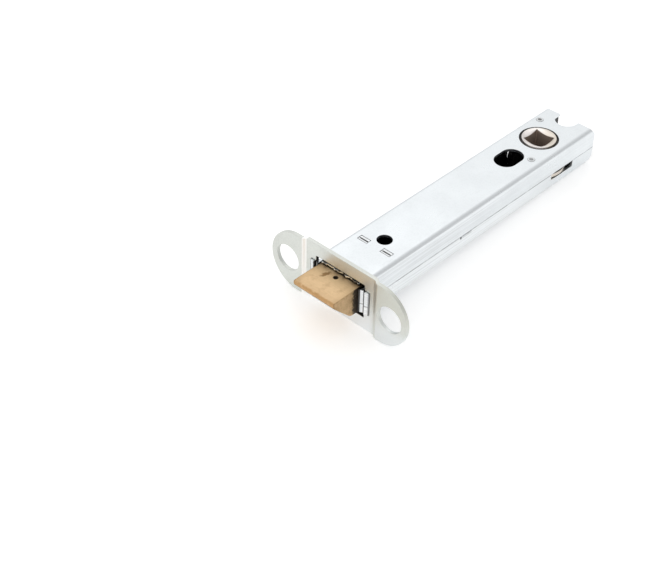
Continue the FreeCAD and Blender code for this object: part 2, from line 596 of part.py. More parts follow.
def follower():
    """Turned profile with two driving blades and a dished square hole."""
    top = HALF_H + BOSS_PROUD
    journal = FOLLOWER_HOLE / 2 - JOURNAL_GAP
    half_profile = [
        (0, -top), (BOSS_RADIUS, -top), (BOSS_RADIUS, -JOURNAL_TOP_Z), (journal, -JOURNAL_TOP_Z),
        (journal, -COLLAR_TOP_Z), (HUB_RADIUS, -COLLAR_TOP_Z),
        (HUB_RADIUS, FLANGE_BOTTOM_Z), (FLANGE_RADIUS, FLANGE_BOTTOM_Z), (FLANGE_RADIUS, FLANGE_TOP_Z),
        (CORE_RADIUS, FLANGE_TOP_Z), (CORE_RADIUS, COLLAR_BOTTOM_Z), (COLLAR_RADIUS, COLLAR_BOTTOM_Z),
        (COLLAR_RADIUS, COLLAR_TOP_Z), (journal, COLLAR_TOP_Z), (journal, JOURNAL_TOP_Z),
        (BOSS_RADIUS, JOURNAL_TOP_Z), (BOSS_RADIUS, top), (0, top),
    ]
    outline = [Vector(radius, BACKSET, z) for radius, z in half_profile]
    section = Part.Face(Part.makePolygon(outline + [outline[0]]))
    turned = section.revolve(Vector(0, BACKSET, 0), Vector(0, 0, 1))
    blades = [follower_blade(-BLADE_REST_DEG - BLADE_SPAN_DEG), follower_blade(180 + BLADE_REST_DEG)]
    turned = turned.fuse(blades).removeSplitter()
    dish = Part.makeCone(DISH_FLOOR_RADIUS, DISH_RADIUS, DISH_DEPTH, Vector(0, BACKSET, top - DISH_DEPTH))
    low_dish = dish.mirror(Vector(0, 0, 0), Vector(0, 0, 1))
    half = SPINDLE_SQUARE / 2
    square = block(-half, half, BACKSET - half, BACKSET + half, -top - OVER, top + OVER)
    return turned.cut([dish, low_dish, square])


def tail_spacer():
    """A black moulding that fills the tail, clear of the flange and of the rear pillar."""
    body = block(-SPACER_HALF_W, SPACER_HALF_W, SPACER_FRONT_Y, SPACER_BACK_Y, -SPACER_HALF_H, SPACER_HALF_H)
    body = bevelled(body, SPACER_CHAMFER, lambda edge, middle: runs_along(edge, Vector(0, 1, 0)))
    high = HALF_H + OVER
    flange_room = post(FLANGE_RADIUS + SPACER_RUNNING_GAP, FLANGE_BOTTOM_Z - SPACER_RUNNING_GAP,
                       FLANGE_TOP_Z + SPACER_RUNNING_GAP, 0, BACKSET)
    pillar_room = post(PILLAR_DIAMETER / 2 + SPACER_RUNNING_GAP, -high, high, *REAR_PILLAR)
    notch = post(THROUGH_WIDTH / 2, -high, high, 0, TAIL_CENTRE_Y)
    notch_way = block(-THROUGH_WIDTH / 2, THROUGH_WIDTH / 2, TAIL_CENTRE_Y, CASE_BACK, -high, high)
    return body.cut([flange_room, pillar_room, notch, notch_way])


def pillar(spot):
    """A shouldered post, its ends spread over the case like rivets."""
    x, y = spot
    head_top = HALF_H + PILLAR_HEAD_PROUD
    parts = [
        post(PILLAR_NECK / 2, -head_top, head_top, x, y),
        post(PILLAR_HEAD / 2, HALF_H, head_top, x, y),
        post(PILLAR_HEAD / 2, -head_top, -HALF_H, x, y),
    ]
    shank = post(PILLAR_DIAMETER / 2, -INNER_Z, INNER_Z, x, y)
    return shank.fuse(parts).removeSplitter()


PARTS = {
    "forend": forend(),
    "upper_case": shell(1),
    "lower_case": shell(-1),
    "upper_bolt_guide": bolt_guide(1),
    "lower_bolt_guide": bolt_guide(-1),
    "latch_bolt": latch_bolt(),
    "bolt_rod": bolt_rod(),
    "bolt_pin": bolt_pin(),
    "rod_clip": rod_clip(),
    "bolt_spring": bolt_spring(),
    "spring_washer": spring_washer(),
    "retractor": retractor(),
    "spring_bridge": spring_bridge(),
    "left_spring_pin": spring_pin(-RETURN_SPRING_X),
    "right_spring_pin": spring_pin(RETURN_SPRING_X),
    "left_return_spring": return_spring(-RETURN_SPRING_X),
    "right_return_spring": return_spring(RETURN_SPRING_X),
    "follower": follower(),
    "front_pillar": pillar(FRONT_PILLAR),
    "rear_pillar": pillar(REAR_PILLAR),
    "tail_spacer": tail_spacer(),
}

os.makedirs("parts", exist_ok=True)
for name, shape in PARTS.items():
    box = shape.BoundBox
    print(f"{name:22s} {shape.ShapeType:9s} solids {len(shape.Solids)} valid {shape.isValid()} "
          f"volume {shape.Volume:9.1f}  x {box.XMin:7.2f} {box.XMax:7.2f}  "
          f"y {box.YMin:7.2f} {box.YMax:7.2f}  z {box.ZMin:6.2f} {box.ZMax:6.2f}")
    shape.exportStep(f"parts/{name}.step")
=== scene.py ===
import math

import bmesh
import bpy
from mathutils import Matrix, Vector


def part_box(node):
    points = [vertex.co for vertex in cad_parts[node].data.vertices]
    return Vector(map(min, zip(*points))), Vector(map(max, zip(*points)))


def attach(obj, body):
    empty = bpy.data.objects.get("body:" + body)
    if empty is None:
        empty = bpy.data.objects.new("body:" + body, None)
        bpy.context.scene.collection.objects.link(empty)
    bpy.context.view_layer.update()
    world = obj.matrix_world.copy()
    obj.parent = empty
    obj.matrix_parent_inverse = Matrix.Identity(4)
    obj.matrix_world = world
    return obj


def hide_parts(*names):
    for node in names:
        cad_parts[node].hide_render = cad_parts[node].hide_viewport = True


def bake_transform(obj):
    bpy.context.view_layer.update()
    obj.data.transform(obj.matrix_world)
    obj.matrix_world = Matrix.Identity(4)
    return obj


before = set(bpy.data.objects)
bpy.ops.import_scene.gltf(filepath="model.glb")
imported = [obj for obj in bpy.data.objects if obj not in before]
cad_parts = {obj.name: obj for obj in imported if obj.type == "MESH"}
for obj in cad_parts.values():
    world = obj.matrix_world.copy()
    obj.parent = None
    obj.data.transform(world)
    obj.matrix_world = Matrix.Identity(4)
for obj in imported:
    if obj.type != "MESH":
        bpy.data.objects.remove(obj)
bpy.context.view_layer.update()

bl_info = {
    "name": "Tubular door latch",
    "version": (1, 0, 0),
    "blender": (4, 5, 0),
    "location": "View3D > Sidebar > Latch",
    "description": "Dresses the packed tubular latch with rounded edges, springs and plated finishes",
    "category": "Object",
}

MM = 0.001
UP = Vector((0, 0, 1))
WELD = 1e-6  # points nearer than this, in metres, become one
FLAT_DEG = 0.5  # edges between faces flatter than this are dropped

# Places and sizes that the CAD fixes, in millimetres; X and Z values are taken from the middle

SHEET = 1.5  # the forend's thickness
SET_BACK = 1.2  # how far its middle lies behind its ends
FOREND_BACK = SHEET + SET_BACK
JOGGLE_X = (15.4, 16.7)  # where it steps back
SCREW_X, SCREW_RADIUS = 23.0, 5.0
MOUTH_X, MOUTH_Z = 10.9, 6.85
NOTCH_X, NOTCH_Z = 13.2, 4.8  # the notches at the mouth's sides
INNER_X, INNER_Z = 9.65, 6.4  # the case's inner faces
OUTER_X, OUTER_Z = 10.75, 7.5  # and its outer faces
SEAM_Z = -1.05
SPLIT_X = 11.08  # the split in each tab of the case
CHEEK_OVERRUN = 1.6  # how far the case's cheeks run past its lower plate
LIP_BACK = 3.4  # the back of the guides' lip
NOSE_Y = -11.5  # the latch bolt's front
PIN_Y = -0.9  # the latch bolt's cross pin
FOLLOWER_Y = 108.0
SEAT_Z = 6.85  # the shoulder that the follower's ring seats on


# Sizes and colours that a user may change

def length(name, description, default_mm):
    return bpy.props.FloatProperty(name=name, description=description, default=default_mm * MM,
                                   unit="LENGTH", precision=5, min=0.0)


def offset(name, description, default_mm):
    return bpy.props.FloatProperty(name=name, description=description, default=default_mm * MM,
                                   unit="LENGTH", precision=5)


def angle(name, description, default_deg):
    return bpy.props.FloatProperty(name=name, description=description, default=math.radians(default_deg),
                                   subtype="ANGLE")


def colour(name, description, default):
    return bpy.props.FloatVectorProperty(name=name, description=description, default=default,
                                         subtype="COLOR", size=3, min=0.0, max=1.0)


def number(name, description, default, **more):
    return bpy.props.FloatProperty(name=name, description=description, default=default, **more)


class LatchSizes(bpy.types.PropertyGroup):
    sheet_edge: length("Sheet edge", "Rounding of the punched edges of the case", 0.12)
    forend_edge: length("Forend edge", "Rounding of the forend's rim and holes", 0.22)
    joggle_bend: length("Joggle bend", "How far each bend of the forend's joggle is rounded", 0.75)
    mouth_corner: length("Mouth corner", "Corner radius of the forend's mouth", 0.6)
    bolt_edge: length("Bolt edge", "Rounding of the long edges of the latch bolt", 0.22)
    nose_round: length("Nose round", "Radius of the two edges of the bolt's nose", 0.7)
    heel_round: length("Heel round", "Radius where the bevel meets the underside", 1.2)
    follower_edge: length("Follower edge", "Rounding of the follower's turned edges", 0.14)
    square: length("Spindle square", "Width of the square hole in the follower", 8.1)
    small_edge: length("Small edge", "Rounding of the pins, clip and washer", 0.08)
    bolt_wire: length("Bolt spring wire", "Wire diameter of the bolt spring", 0.9)
    return_wire: length("Return spring wire", "Wire diameter of the two return springs", 0.6)


class LatchColours(bpy.types.PropertyGroup):
    case: colour("Case", "Bright zinc plate of the two shells", (0.85, 0.885, 0.905))
    forend: colour("Forend", "Satin plate of the forend", (0.745, 0.765, 0.725))
    guide: colour("Guides", "Plated strip of the bolt guides", (0.74, 0.76, 0.77))
    steel: colour("Steel", "Drawn steel of the inner works", (0.62, 0.63, 0.65))
    wire: colour("Spring wire", "Spring steel", (0.36, 0.36, 0.38))
    brass: colour("Brass", "Satin brass of the latch bolt", (0.80, 0.58, 0.345))
    # Also the colour of the bolt's painted shade and shadow
    brass_stain_and_shade: colour("Brass stain", "Tarnish in the worn places of the bolt", (0.40, 0.25, 0.12))
    follower: colour("Follower", "Nickel-plated follower", (0.86, 0.81, 0.78))
    floor: colour("Floor", "Pale floor", (0.92, 0.92, 0.92))


class LatchStage(bpy.types.PropertyGroup):
    lens: number("Lens", "Focal length in millimetres on a 36 mm wide sensor", 80.84, min=1.0)
    azimuth: angle("Azimuth", "Where the camera stands round the latch", 43.675)
    elevation: angle("Elevation", "Camera height above the floor", 41.674)
    roll: angle("Roll", "Camera turn about its own axis", -0.354)
    distance: length("Distance", "From the aimed point to the camera", 509.162)
    aim_x: offset("Aim X", "Aimed point on the floor, along the forend", -8.46)
    aim_y: offset("Aim Y", "Aimed point on the floor, along the case", 6.577)
    floor_front: length("Floor depth", "From the forend's middle down to the camera's ground", 11.743)
    floor_tilt: angle("Floor tilt", "Slope of the camera's ground under the latch", 1.9167)
    world: number("Room light", "Strength of the white room", 0.95, min=0.0)
    glow: number("Floor glow", "How much brighter the floor looks than it lights", 0.28, min=0.0)
    key: number("Key light", "Power of the overhead soft box, in watts", 0.38, min=0.0)


# Picking and shaping, in metres

def select_only(obj):
    bpy.ops.object.select_all(action="DESELECT")
    obj.select_set(True)
    bpy.context.view_layer.objects.active = obj


def apply_place(obj):
    """Moves an object's place, turn and size into its mesh, and leaves it alone selected."""
    select_only(obj)
    bpy.ops.object.transform_apply(location=True, rotation=True, scale=True)


def latest(name):
    """The object that a primitive operator has just made, with its place in its mesh."""
    obj = bpy.context.active_object
    obj.name = name
    apply_place(obj)
    return obj


def block(name, x, y, z):
    """A box between two X, two Y and two Z values, in millimetres."""
    bpy.ops.object.select_all(action="DESELECT")
    middle = [MM * (low + high) / 2 for low, high in (x, y, z)]
    span = [MM * (high - low) for low, high in (x, y, z)]
    bpy.ops.mesh.primitive_cube_add(size=1, location=middle, scale=span)
    return latest(name)


def post(name, radius, z, at=(0, 0), sides=64):
    """An upright cylinder in millimetres."""
    bpy.ops.object.select_all(action="DESELECT")
    bpy.ops.mesh.primitive_cylinder_add(vertices=sides, radius=radius * MM, depth=(z[1] - z[0]) * MM,
                                        location=(at[0] * MM, at[1] * MM, MM * (z[0] + z[1]) / 2))
    return latest(name)


def bar(name, radius, y, at=(0, 0), sides=64):
    """A cylinder along Y in millimetres; at is its X and Z."""
    bpy.ops.object.select_all(action="DESELECT")
    bpy.ops.mesh.primitive_cylinder_add(vertices=sides, radius=radius * MM, depth=(y[1] - y[0]) * MM,
                                        location=(at[0] * MM, MM * (y[0] + y[1]) / 2, at[1] * MM),
                                        rotation=(math.radians(90), 0, 0))
    return latest(name)


def enter(obj, kind):
    """Edit mode with nothing selected; kind is VERT, EDGE or FACE."""
    select_only(obj)
    bpy.ops.object.mode_set(mode="EDIT")
    bpy.ops.mesh.select_mode(type=kind)
    bpy.ops.mesh.select_all(action="DESELECT")


def leave():
    bpy.ops.object.mode_set(mode="OBJECT")


def measured(item, kind):
    """A vertex's place, an edge's middle and direction, or a face's middle and normal, in millimetres."""
    if kind == "VERT":
        return (item.co / MM,)
    if kind == "EDGE":
        first, last = [corner.co / MM for corner in item.verts]
        return (first + last) / 2, (last - first).normalized()
    return item.calc_center_median() / MM, item.normal


def pick(obj, kind, wanted):
    """Selects the vertices, edges or faces that pass a test."""
    bpy.ops.mesh.select_all(action="DESELECT")
    mesh = bmesh.from_edit_mesh(obj.data)
    items = {"VERT": mesh.verts, "EDGE": mesh.edges, "FACE": mesh.faces}[kind]
    chosen = [item for item in items if wanted(*measured(item, kind))]
    if not chosen:
        raise RuntimeError(f"{obj.name}: nothing was picked")
    for item in chosen:
        item.select_set(True)
    mesh.select_flush_mode()
    bmesh.update_edit_mesh(obj.data)


def cut_plane(at, normal, keep_all=True):
    """Cuts the mesh in edit mode; the side that the normal points to goes unless all is kept."""
    bpy.ops.mesh.select_all(action="SELECT")
    bpy.ops.mesh.bisect(plane_co=[v * MM for v in at], plane_no=normal, use_fill=not keep_all,
                        clear_outer=not keep_all, threshold=WELD)


def apply_all(obj):
    """Applies a piece's modifiers in their order."""
    select_only(obj)
    for modifier in list(obj.modifiers):
        bpy.ops.object.modifier_apply(modifier=modifier.name)


def combine(obj, other, operation):
    """Adds or takes away another solid, which goes."""
    modifier = obj.modifiers.new(operation.title(), "BOOLEAN")
    modifier.operation = operation
    modifier.solver = "EXACT"
    modifier.object = other
    apply_all(obj)
    bpy.data.objects.remove(other)


def merge_doubles():
    """Merges the points of the mesh in edit mode that lie on each other."""
    bpy.ops.mesh.select_all(action="SELECT")
    bpy.ops.mesh.remove_doubles(threshold=WELD)


def tidy_mesh(obj):
    """Merges doubles and drops the edges that lie inside flat faces."""
    enter(obj, "VERT")
    merge_doubles()
    bpy.ops.mesh.dissolve_limited(angle_limit=math.radians(FLAT_DEG))
    leave()


def face_out(obj):
    """Turns every face outwards."""
    enter(obj, "FACE")
    bpy.ops.mesh.select_all(action="SELECT")
    bpy.ops.mesh.normals_make_consistent(inside=False)
    leave()


def soften(obj, width, segments=2, angle_deg=38.0):
    """Rounds the sharp edges and lets the flat faces shade flat."""
    edge = obj.modifiers.new("Edge", "BEVEL")
    edge.width = width
    edge.segments = segments
    edge.limit_method = "ANGLE"
    edge.angle_limit = math.radians(angle_deg)
    edge.use_clamp_overlap = True
    edge.miter_outer = "MITER_ARC"
    apply_all(obj)
    enter(obj, "VERT")
    merge_doubles()
    leave()
    select_only(obj)
    bpy.ops.object.shade_smooth_by_angle(angle=math.radians(40))
    flat = obj.modifiers.new("Flat faces", "WEIGHTED_NORMAL")
    flat.keep_sharp = True
    flat.weight = 60
    apply_all(obj)


def lathe(name, profile, at, steps=96):
    """Turns an outline of (radius, z) pairs in millimetres about an upright axis."""
    bpy.ops.object.select_all(action="DESELECT")
    start = Vector((at[0] + profile[0][0], at[1], profile[0][1])) * MM
    bpy.ops.mesh.primitive_plane_add(size=MM, location=start)
    obj = latest(name)
    enter(obj, "VERT")
    bpy.ops.mesh.select_all(action="SELECT")
    bpy.ops.mesh.merge(type="CENTER")
    for (radius, z), (next_radius, next_z) in zip(profile, profile[1:]):
        step = ((next_radius - radius) * MM, 0, (next_z - z) * MM)
        bpy.ops.mesh.extrude_region_move(TRANSFORM_OT_translate={"value": step})
    bpy.ops.mesh.select_all(action="SELECT")
    bpy.ops.mesh.spin(steps=steps, angle=math.tau, center=(at[0] * MM, at[1] * MM, 0), axis=UP)
    merge_doubles()
    leave()
    face_out(obj)
    return obj


def twin(obj, name):
    """A copy of a piece, with a mesh of its own."""
    other = obj.copy()
    other.data = obj.data.copy()
    other.name = name
    bpy.context.scene.collection.objects.link(other)
    return other


def box_mm(node):
    """The lowest and highest corners of a CAD node, in millimetres."""
    return [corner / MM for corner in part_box(node)]


def copy_of(node, name):
    """A merged copy of a CAD node's mesh."""
    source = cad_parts[node]
    obj = bpy.data.objects.new(name, source.data.copy())
    bpy.context.scene.collection.objects.link(obj)
    select_only(obj)
    if obj.data.has_custom_normals:
        bpy.ops.mesh.customdata_custom_splitnormals_clear()
    tidy_mesh(obj)
    return obj


def settle(obj, body, finish, node):
    """Gives a finished piece its material and its body, and hides the CAD node that it stands for."""
    apply_place(obj)
    obj.data.materials.clear()
    obj.data.materials.append(finish)
    if body:
        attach(obj, body)
    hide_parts(node)


# Shader maths

class Signal:
    """A socket that can be used in sums, products and comparisons."""

    def __init__(self, finish, socket):
        self.finish = finish
        self.socket = socket

    def sum_with(self, operation, first, second, clamp=False):
        settings = {"operation": operation, "use_clamp": clamp}
        return self.finish.node("ShaderNodeMath", settings, {0: first, 1: second})

    def __add__(self, other):
        return self.sum_with("ADD", self, other)

    def __radd__(self, other):
        return self.sum_with("ADD", other, self)

    def __sub__(self, other):
        return self.sum_with("SUBTRACT", self, other)

    def __rsub__(self, other):
        return self.sum_with("SUBTRACT", other, self)

    def __mul__(self, other):
        return self.sum_with("MULTIPLY", self, other)

    def __rmul__(self, other):
        return self.sum_with("MULTIPLY", other, self)

    def __truediv__(self, other):
        return self.sum_with("DIVIDE", self, other)

    def __pow__(self, other):
        return self.sum_with("POWER", self, other)

    def __abs__(self):
        return self.sum_with("ABSOLUTE", self, 0.0)

    def most(self, other):
        """The greater of two."""
        return self.sum_with("MAXIMUM", self, other)

    def clamped(self):
        """The same, kept between 0 and 1."""
        return self.sum_with("ADD", self, 0.0, clamp=True)

    def ramp(self, low, high):
        """0 below low and 1 above high, smooth between."""
        return self.finish.node("ShaderNodeMapRange", {"interpolation_type": "SMOOTHSTEP"},
                                {"Value": self, "From Min": low, "From Max": high})


class Finish:
    """One node material, and the few ways in which its nodes are made."""

    def __init__(self, name, owner=None):
        if owner is None:
            owner = bpy.data.materials.new(name)
        owner.use_nodes = True
        self.owner = owner
        self.tree = owner.node_tree
        self.tree.nodes.clear()
        self.spot = None

    def node(self, kind, settings=None, inputs=None, output=0):
        """Adds a node, sets it up, links or fills its sockets, and gives one of its outputs."""
        node = self.tree.nodes.new(kind)
        for key, value in (settings or {}).items():
            setattr(node, key, value)
        for key, value in (inputs or {}).items():
            socket = node.inputs[key]
            if isinstance(value, Signal):
                self.tree.links.new(value.socket, socket)
            else:
                socket.default_value = value
        if not node.outputs:
            return node
        return Signal(self, node.outputs[output])

    def place(self):
        """Object coordinates in millimetres."""
        if self.spot is None:
            raw = self.node("ShaderNodeTexCoord", output="Object")
            inputs = {0: raw, "Scale": 1 / MM}
            self.spot = self.node("ShaderNodeVectorMath", {"operation": "SCALE"}, inputs)
        return self.spot

    def axis(self, name):
        return self.node("ShaderNodeSeparateXYZ", inputs={0: self.place()}, output=name)

    def axes(self):
        return self.axis("X"), self.axis("Y"), self.axis("Z")

    def stretched(self, scale, turn=(0, 0, 0)):
        """Coordinates that draw a pattern out along the axes with the smallest scale."""
        inputs = {"Vector": self.place(), "Rotation": turn, "Scale": scale}
        return self.node("ShaderNodeMapping", inputs=inputs)

    def noise(self, scale, detail=3.0, rough=0.5, at=None, warp=0.0):
        inputs = {"Vector": at or self.place(), "Scale": scale, "Detail": detail, "Roughness": rough,
                  "Distortion": warp}
        return self.node("ShaderNodeTexNoise", inputs=inputs)

    def blend(self, factor, low, high):
        """One colour where the factor is 0, the other where it is 1."""
        node = self.tree.nodes.new("ShaderNodeMix")
        node.data_type = "RGBA"
        for socket, value in ((node.inputs[0], factor), (node.inputs[6], low), (node.inputs[7], high)):
            if isinstance(value, Signal):
                self.tree.links.new(value.socket, socket)
            elif socket is node.inputs[0]:
                socket.default_value = value
            else:
                socket.default_value = (*value, 1)
        return Signal(self, node.outputs[2])

    def bump(self, height, strength, reach_mm):
        inputs = {"Height": height, "Strength": strength, "Distance": reach_mm * MM}
        return self.node("ShaderNodeBump", inputs=inputs)

    def metal(self, colour, rough, normal, constants=None):
        """Closes the material with one shader; constants are set on its own sockets."""
        inputs = {"Base Color": colour, "Roughness": rough, "Normal": normal, "Metallic": 1.0}
        inputs.update(constants or {})
        shader = self.node("ShaderNodeBsdfPrincipled", inputs=inputs)
        self.node("ShaderNodeOutputMaterial", inputs={"Surface": shader})
        return self.owner


# The near black of the painted shade in hidden and shaded places
SHADE_BLACK = (0.035, 0.032, 0.030)
SHADE_REACH = 0.03  # how far the painted shade on a hidden face reaches past it, in millimetres


def darker(shade, share):
    return tuple(value * share for value in shade)


def within(value, edge, soft=0.06):
    """1 where the size of a value stays under an edge, fading to 0 just past it."""
    return 1 - abs(value).ramp(edge, edge + soft)


def case_painted_shade(finish):
    """Painted shade on the shells' hidden faces, in each tab's split and along each tab's notch edge,
    painted shade and oil on their front ends behind the forend, and dark patches along their seam.
    """
    x, y, z = finish.axes()
    wall = abs(x).ramp(INNER_X - 0.15, INNER_X + 0.05)
    seam = within(z - SEAM_Z, 0.12) * wall * finish.noise(0.12, 3, 0.6).ramp(0.36, 0.56)
    hidden = within(x, INNER_X + SHADE_REACH) * within(z, INNER_Z + SHADE_REACH)
    front_end = (1 - y.ramp(FOREND_BACK + 0.05, FOREND_BACK + 0.6))
    front_end = front_end * abs(z).ramp(NOTCH_Z + 0.1, NOTCH_Z + 0.5)
    tab = 1 - y.ramp(FOREND_BACK - 0.1, FOREND_BACK + 0.1)
    split = within(abs(x) - SPLIT_X, 0.34, 0.12)
    tab_edge = abs(x).ramp(NOTCH_X - 0.5, NOTCH_X - 0.2)
    return hidden.most(front_end).most(split.most(tab_edge * 0.7) * tab).most(seam * 0.55) * 0.94


def forend_mouth_shade(finish):
    """Black painted shade on the walls of the mouth and its notches."""
    x, z = finish.axis("X"), finish.axis("Z")
    mouth = within(x, MOUTH_X + SHADE_REACH) * within(z, MOUTH_Z + SHADE_REACH)
    notches = within(x, NOTCH_X + SHADE_REACH) * within(z, NOTCH_Z + SHADE_REACH)
    return mouth.most(notches) * 0.93


def guide_lip_shade(finish):
    """Painted shade on the lip in front of the bolt, in patches, and behind it."""
    patches = finish.noise(0.55, 3, 0.6).ramp(0.52, 0.58) * 0.9
    behind = finish.axis("Y").ramp(LIP_BACK - 0.4, LIP_BACK + 0.2)
    return patches.most(behind) * within(finish.axis("Z"), OUTER_Z - 0.2) * 0.95


def rivet_crater_shade(finish):
    """Painted shade, patchy, in the crater of each riveted head and round its foot."""
    low = 1 - abs(finish.axis("Z")).ramp(OUTER_Z + 0.05, OUTER_Z + 0.17)
    return low * (finish.noise(0.5, 2).ramp(0.3, 0.7) * 0.35 + 0.4)


def works_inside_shade(finish):
    """Painted shade on the pieces inside the case, patchy, but not on an ear that reaches its outside."""
    # The share of painted shade, patchy at random
    film = finish.noise(0.3, 2).ramp(0.2, 0.8) * 0.16 + 0.80
    return film * within(finish.axis("X"), INNER_X + 0.1)


def forend_painted_light(finish):
    """Painted light and shade on the forend: a paler lower part in its middle, a darker top and a paler
    foot at its right end, and a painted highlight on the inner bend of its left joggle.
    """
    x, z = finish.axis("X"), finish.axis("Z")
    bend_x = sum(JOGGLE_X) / 2 - 0.1
    lower_half = (1 - z.ramp(-10.0, 3.0)) * within(x, NOTCH_X - 0.2, 4.0) * 0.9
    right_end = x.ramp(JOGGLE_X[1] - 0.2, JOGGLE_X[1] + 0.8) * 0.8
    return (
        (lower_half, (0.92, 0.95, 0.97)),
        (right_end * z.ramp(-2.0, 4.0), (0.66, 0.67, 0.61)),
        (right_end * (1 - z.ramp(-7.0, -1.0)), (0.84, 0.87, 0.88)),
        (within(x + bend_x, 0.45, 0.45), (1.0, 1.0, 0.98)),
    )


def case_streaks_and_painted_light(finish):
    """Long pale and dull streaks that the folding left on the side walls, fading towards the tail, and
    painted light that makes the walls paler below the seam, also fading towards the tail.
    """
    x, y, z = finish.axes()
    streak = finish.noise(1.0, 2, 0.6, at=finish.stretched((0.5, 0.02, 2.4)))
    wall = abs(x).ramp(OUTER_X - 0.75, OUTER_X - 0.15)
    lower_wall = wall * (1 - z.ramp(SEAM_Z - 0.55, SEAM_Z - 0.05)) * (1 - y.ramp(80.0, 115.0) * 0.9)
    drawn_wall = wall * (1 - y.ramp(35.0, 105.0) * 0.8)
    return (
        # Painted light: the walls paler below the seam
        (lower_wall * 0.85, (0.95, 0.975, 0.985)),
        (drawn_wall * streak.ramp(0.51, 0.62) * 0.7, (0.94, 0.97, 0.99)),
        (drawn_wall * (1 - streak.ramp(0.38, 0.49)) * 0.55, (0.70, 0.72, 0.73)),
    )


def guide_light(finish):
    """The stakes' heads are as bright as the case they are riveted over, and the lip has a painted
    highlight.
    """
    head = abs(finish.axis("Z")).ramp(OUTER_Z - 0.6, OUTER_Z - 0.3)
    lip = 1 - finish.axis("Y").ramp(LIP_BACK - 0.4, LIP_BACK)
    return (head, (0.88, 0.90, 0.91)), (lip, (0.95, 1.0, 1.0))


def plated_finish(name, shade, rough=0.30, dull=0.90, painted_shade=None, light=None):
    """Zinc plate: a faint cloudy bloom, rolling lines along the strip and a few hair scratches."""
    finish = Finish(name)
    cloud = finish.noise(0.09, 3, 0.55)
    speck = finish.noise(1.7, 2, 0.6)
    rolled = finish.noise(1.0, 2, 0.5, at=finish.stretched((4.0, 0.05, 4.0)))
    hair = finish.noise(1.0, 1, 0.4, at=finish.stretched((5.0, 0.09, 5.0), turn=(0, 0, 0.35)))
    scratch = hair.ramp(0.70, 0.74) * finish.noise(0.2, 1).ramp(0.52, 0.62)
    bloom = (cloud.ramp(0.35, 0.68) * 0.55 + speck.ramp(0.42, 0.68) * 0.45 + rolled * 0.15).clamped()
    colour_out = finish.blend(bloom, shade, darker(shade, dull))
    colour_out = finish.blend(scratch * 0.35, colour_out, darker(shade, 0.72))
    roughness = rough + (bloom - 0.3) * 0.12 + scratch * 0.08
    # Painted light and shade: each tint of the light table is laid over the colour by its share
    for share, tint in (light(finish) if light else ()):
        colour_out = finish.blend(share, colour_out, tint)
    # Painted shade: near black over the mask of hidden and shaded places
    if painted_shade:
        film = painted_shade(finish)
        colour_out = finish.blend(film, colour_out, SHADE_BLACK)
        roughness = roughness + film * 0.12
    height = rolled * 0.5 + speck * 0.35 + scratch * -0.6
    return finish.metal(colour_out, roughness, finish.bump(height, 0.16, 0.02))


def brass_finish(name, shade, stain_and_shade):
    """Satin brass with cloudy handling marks and a smudge beside the pin hole, with painted shade by the
    mouth, on the sides, along the top's long edges, inside the forend and in the pin hole, a painted
    shadow under the nose and a painted orange glow along its front edge.
    """
    # Painted orange glow along the nose's front edge
    glow_orange = (0.52, 0.29, 0.11)
    finish = Finish(name)
    drawn = finish.noise(1.0, 3, 0.55, at=finish.stretched((0.35, 5.0, 5.0)))
    cloud = finish.noise(0.30, 4, 0.62)
    blotch = finish.noise(0.75, 3, 0.6, warp=0.4)
    fine = finish.noise(5.0, 3, 0.65)
    x, y, z = finish.axes()
    wave = blotch - 0.5
    from_nose = y - NOSE_Y
    from_pin = y - PIN_Y
    top = z.ramp(4.6, 5.0)
    side = abs(x).ramp(8.5, 8.8)
    smudge_x = (x + 3.6 - (y + 2.0) * 0.25 + wave * 2.2) / 1.1
    smudge_y = (y + 1.9 + (cloud - 0.5) * 1.5) / 2.5
    smudge = (1 - (smudge_x * smudge_x + smudge_y * smudge_y)).ramp(0.0, 0.9) * top
    # Painted shade on the top near the mouth
    mouth_shade = y.ramp(-0.8, 1.2) * (blotch * 0.7 + 0.35)
    # Painted shade on the sides towards the mouth
    side_shade = (y + wave * 3.0).ramp(-2.7, -1.3) * side * (1 - fine.ramp(0.55, 0.7) * 0.35)
    # Painted shade on the part inside the forend
    hidden = y.ramp(0.8, 1.7)
    # Painted shade in the pin hole
    pit = within((x * x + from_pin * from_pin) ** 0.5, 0.85, 0.2)
    nose = 1 - from_nose.ramp(1.5, 4.5)
    lip = 1 - (from_nose + wave * 0.8).ramp(0.2, 1.0)
    # Painted shadow under the nose
    chin = (1 - (z + wave * 0.8).ramp(3.2, 3.8)) * (1 - from_nose.ramp(0.5, 0.9))
    # Painted shade towards the top's long edges
    rim = abs(x).ramp(6.5, 8.9) * top
    # Random cloudy darkening, and the sides darker: painted shade with blotches
    worn = cloud.ramp(0.48, 0.75) * 0.30 + side * (0.25 + blotch.ramp(0.4, 0.65) * 0.25)
    # Real smudge and cloudy marks together with the painted shade of the mouth, the top's edges and the
    # sides, and darker towards the nose
    tarnish_and_shade = (smudge * 1.05 + mouth_shade * 0.3 + nose * 0.14 + rim * 0.20 + worn).clamped()
    # Near black painted shade
    shaded = (side_shade * 0.93).most(hidden * 0.85).most(pit * 0.85)
    colour_out = finish.blend(drawn.ramp(0.25, 0.8) * 0.5, shade, darker(shade, 0.86))
    colour_out = finish.blend(lip * 0.75, colour_out, glow_orange)
    colour_out = finish.blend(chin * 0.7, colour_out, darker(stain_and_shade, 0.5))
    colour_out = finish.blend(blotch.ramp(0.52, 0.7) * 0.45, colour_out, darker(shade, 1.08))
    colour_out = finish.blend(tarnish_and_shade, colour_out, stain_and_shade)
    colour_out = finish.blend(shaded, colour_out, SHADE_BLACK)
    roughness = 0.44 + drawn * 0.08 + tarnish_and_shade * 0.12
    height = drawn * 0.4 + blotch * 0.8 + fine * 0.25
    return finish.metal(colour_out, roughness, finish.bump(height, 0.35, 0.04))


